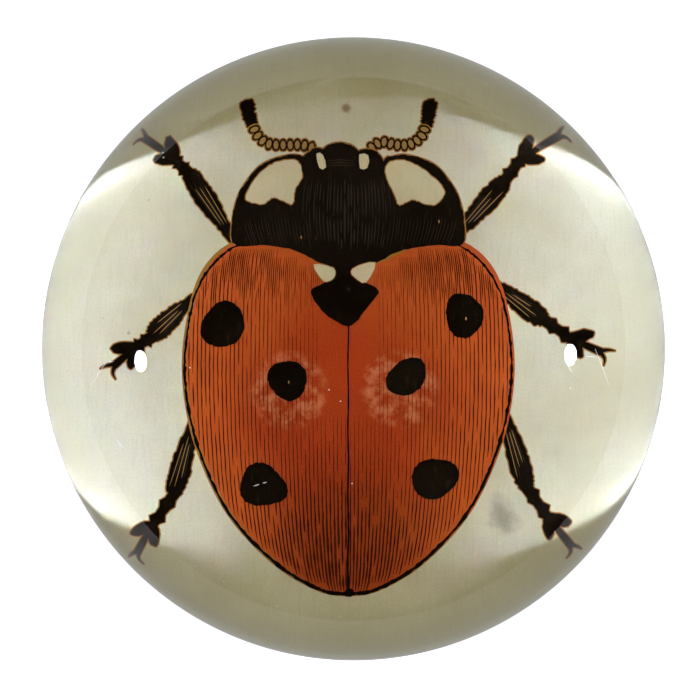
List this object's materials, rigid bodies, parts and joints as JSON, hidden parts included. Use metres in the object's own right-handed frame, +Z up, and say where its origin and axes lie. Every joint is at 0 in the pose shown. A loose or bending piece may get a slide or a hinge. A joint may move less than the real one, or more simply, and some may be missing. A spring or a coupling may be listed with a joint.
{
  "type": "domed glass paperweight",
  "caption": "Clear glass dome with a flat, felt-backed base, seated over a round printed paper with a beetle picture that the glass magnifies.",
  "frame": {"origin": "centre of the felt's underside, on the surface that the paperweight rests on", "axes": "+Z up through the crown of the dome; +Y towards the pictured beetle's head; +X to the right of the picture"},
  "size_m": [0.08, 0.08, 0.0404],
  "materials": {
    "clear_glass": "polished clear glass",
    "aged_paper": "matt aged paper with a hand-coloured engraving",
    "dark_felt": "short dense felt"
  },
  "bodies": {
    "root": {"glass_dome": "clear_glass", "printed_paper": "aged_paper", "felt_backing": "dark_felt"}
  },
  "joints": []
}
